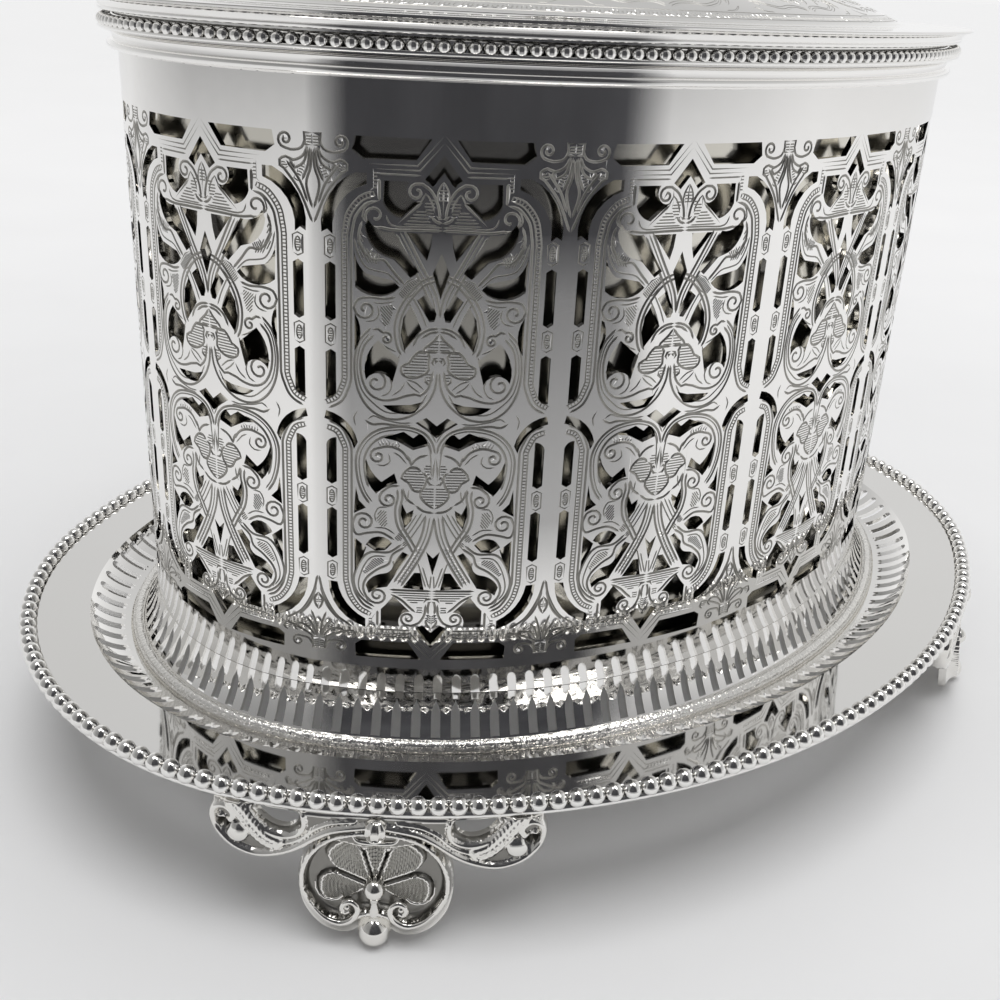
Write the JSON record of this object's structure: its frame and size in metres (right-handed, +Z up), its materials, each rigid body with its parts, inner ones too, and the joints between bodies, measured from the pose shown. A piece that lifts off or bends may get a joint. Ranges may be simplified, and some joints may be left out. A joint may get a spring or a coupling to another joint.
{
  "type": "biscuit jar",
  "caption": "Oval silver-plated biscuit jar: pierced wall round a loose liner, hinged domed lid with a bud finial, and a wide pierced tray with a beaded edge on shell feet.",
  "frame": {"origin": "on the table, in the middle of the space the jar stands on, at the bottom of the feet", "axes": "+X along the oval's long side, +Z up, the front faces -Y and the hinge is at +Y"},
  "size_m": [0.2146, 0.1674, 0.1724],
  "materials": {
    "silver_sheet": "silver plate on rolled sheet, mirror polished with fine wiping marks",
    "silver_cast": "silver plate on castings, polished on the high places and darker in the hollows",
    "silver_beads": "silver plated bead wire, polished",
    "liner_silver": "silver plated liner, polished, a little tarnished behind the piercing",
    "lid_silver": "silver plate, mirror polished, with an engraved band",
    "steel_rod": "drawn steel rod",
    "brass_fixing": "plain brass nut and washer, dull"
  },
  "bodies": {
    "box": {"foot_front_left": "silver_cast", "foot_front_right": "silver_cast", "foot_back_left": "silver_cast", "foot_back_right": "silver_cast", "tray_plate": "silver_sheet", "tray_bead_rim": "silver_beads", "base_ring": "silver_cast", "base_skirt": "silver_sheet", "floor_plate": "silver_sheet", "pierced_wall": "silver_sheet", "collar_moulding": "silver_sheet", "collar_bead_row": "silver_beads", "collar_rim": "silver_sheet", "liner": "liner_silver", "liner_rim": "liner_silver", "hinge_leaf_body": "silver_sheet", "hinge_pin": "steel_rod"},
    "lid": {"hinge_leaf_lid": "silver_sheet", "lid_cover": "lid_silver", "lid_rim": "lid_silver", "lid_bezel": "lid_silver", "finial_base": "silver_cast", "finial": "silver_cast", "finial_stud": "steel_rod", "finial_washer": "brass_fixing", "finial_nut": "brass_fixing"}
  },
  "joints": [
    {"name": "lid_hinge", "type": "hinge", "parent": "box", "child": "lid", "pos_m": [0, 0.0652, 0.133], "axis": [-1, 0, 0], "range_deg": [0, 100]}
  ]
}
